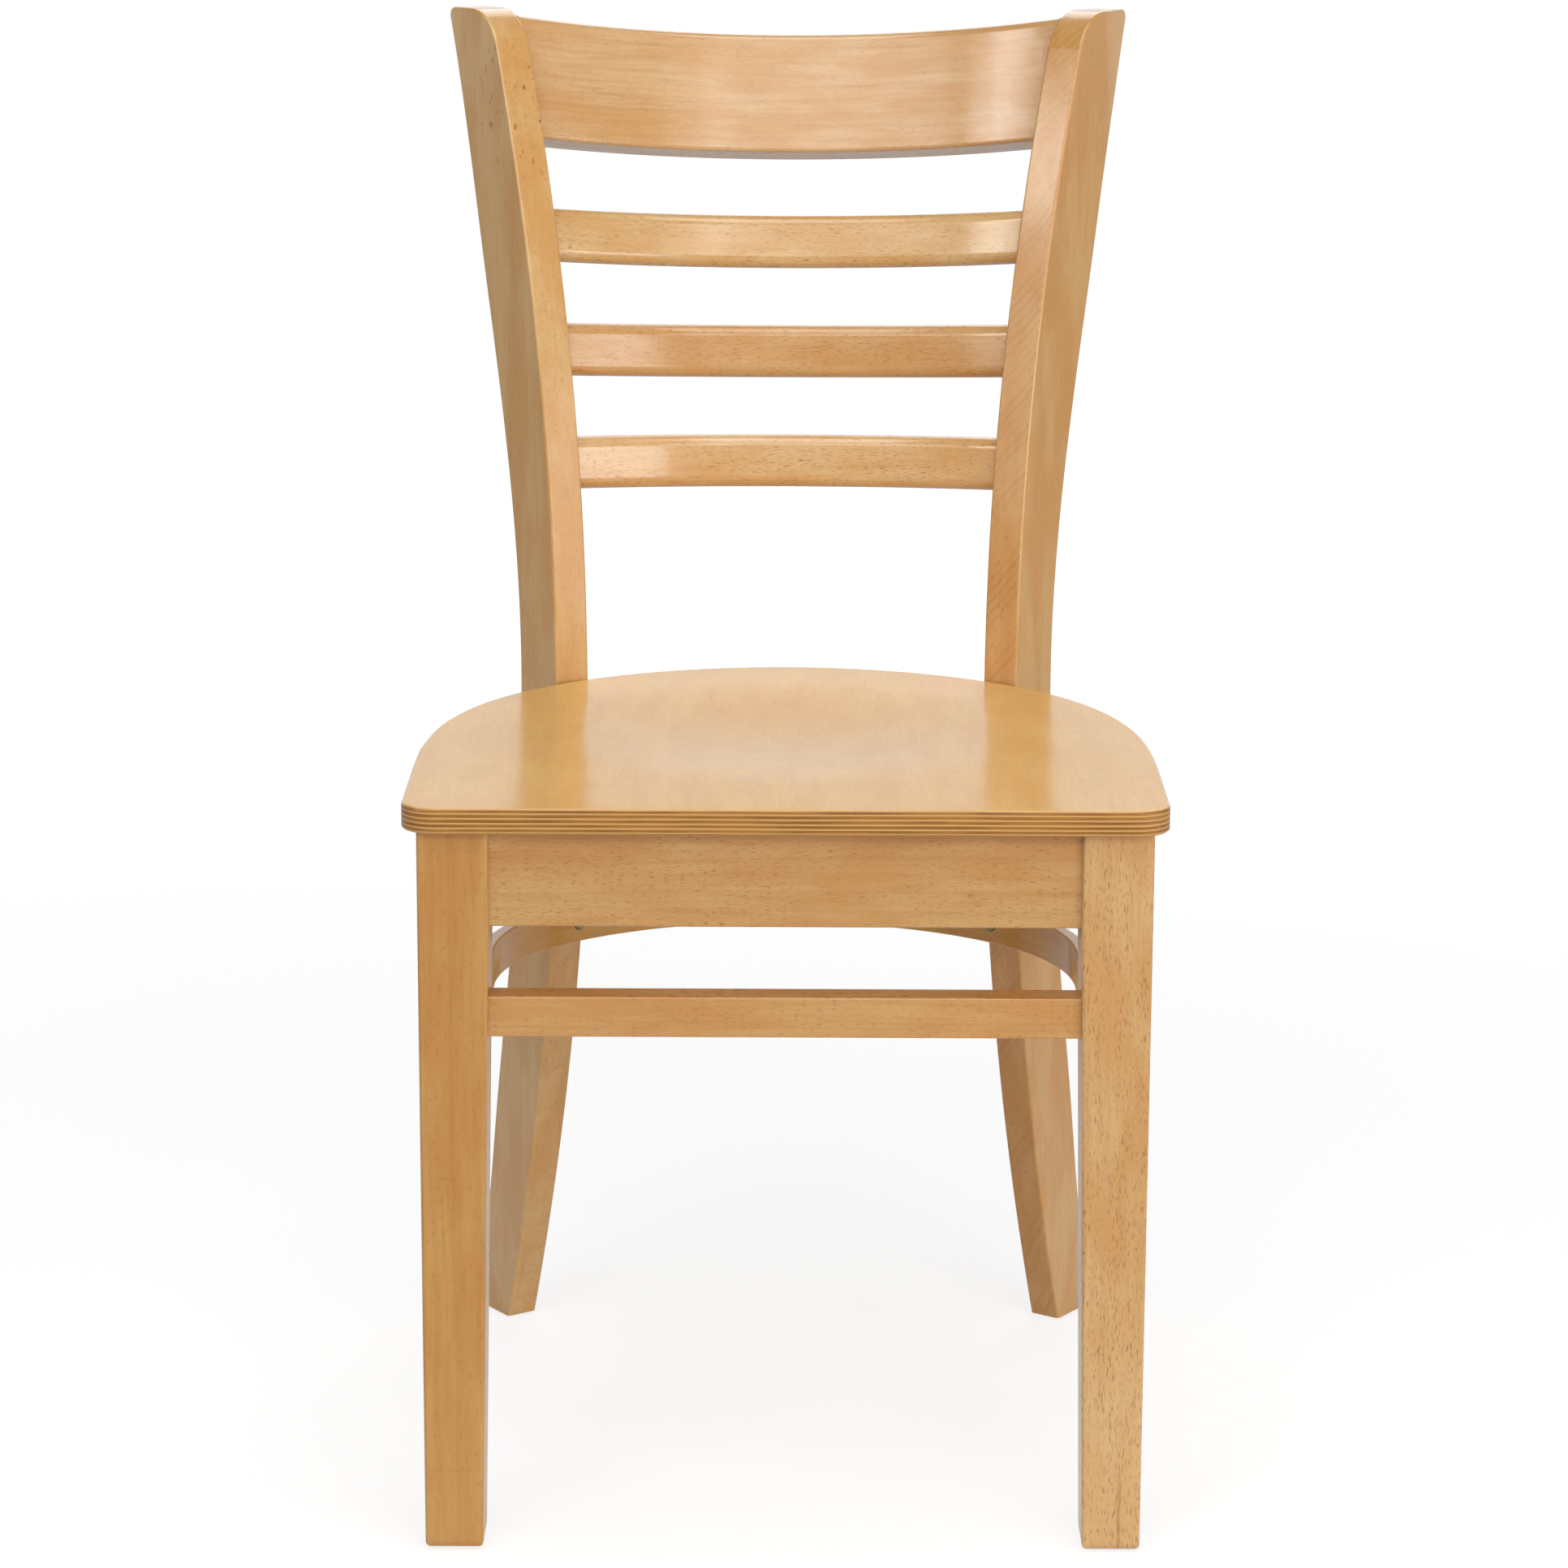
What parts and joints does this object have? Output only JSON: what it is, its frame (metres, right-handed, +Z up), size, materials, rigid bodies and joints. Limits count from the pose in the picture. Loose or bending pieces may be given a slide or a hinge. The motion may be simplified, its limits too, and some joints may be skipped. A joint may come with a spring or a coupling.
{
  "type": "ladderback chair",
  "caption": "Dining chair in pale wood with straight front legs, a U-shaped plywood seat, splayed curved rear legs and a ladder back of bowed slats under a wider crest rail.",
  "frame": {"origin": "centre of the footprint at floor level, halfway between the seat's front edge and the crest rail's rear", "axes": "+Z up, -Y to the front of the seat, +X to the right as seen from the front"},
  "size_m": [0.4366, 0.5312, 0.868],
  "materials": {
    "seat_plywood": "satin lacquer, pale beech face veneer, layered edge",
    "beech": "satin lacquer over natural beech",
    "zinc_steel": "bright zinc",
    "glide_plastic": "dull dark plastic"
  },
  "bodies": {
    "root": {"seat_panel": "seat_plywood", "front_leg_left": "beech", "front_leg_right": "beech", "rear_leg_left": "beech", "rear_leg_right": "beech", "front_rail": "beech", "seat_apron": "beech", "front_stretcher": "beech", "u_brace": "beech", "crest_rail": "beech", "slat_lower": "beech", "slat_middle": "beech", "slat_upper": "beech", "corner_block_left": "beech", "corner_block_right": "beech", "apron_dowels": "beech", "brace_dowels": "beech", "leg_bolts": "zinc_steel", "leg_washers": "zinc_steel", "leg_nuts": "zinc_steel", "seat_screws": "zinc_steel", "block_screws": "zinc_steel", "brace_screws": "zinc_steel", "foot_glides": "glide_plastic"}
  },
  "joints": []
}
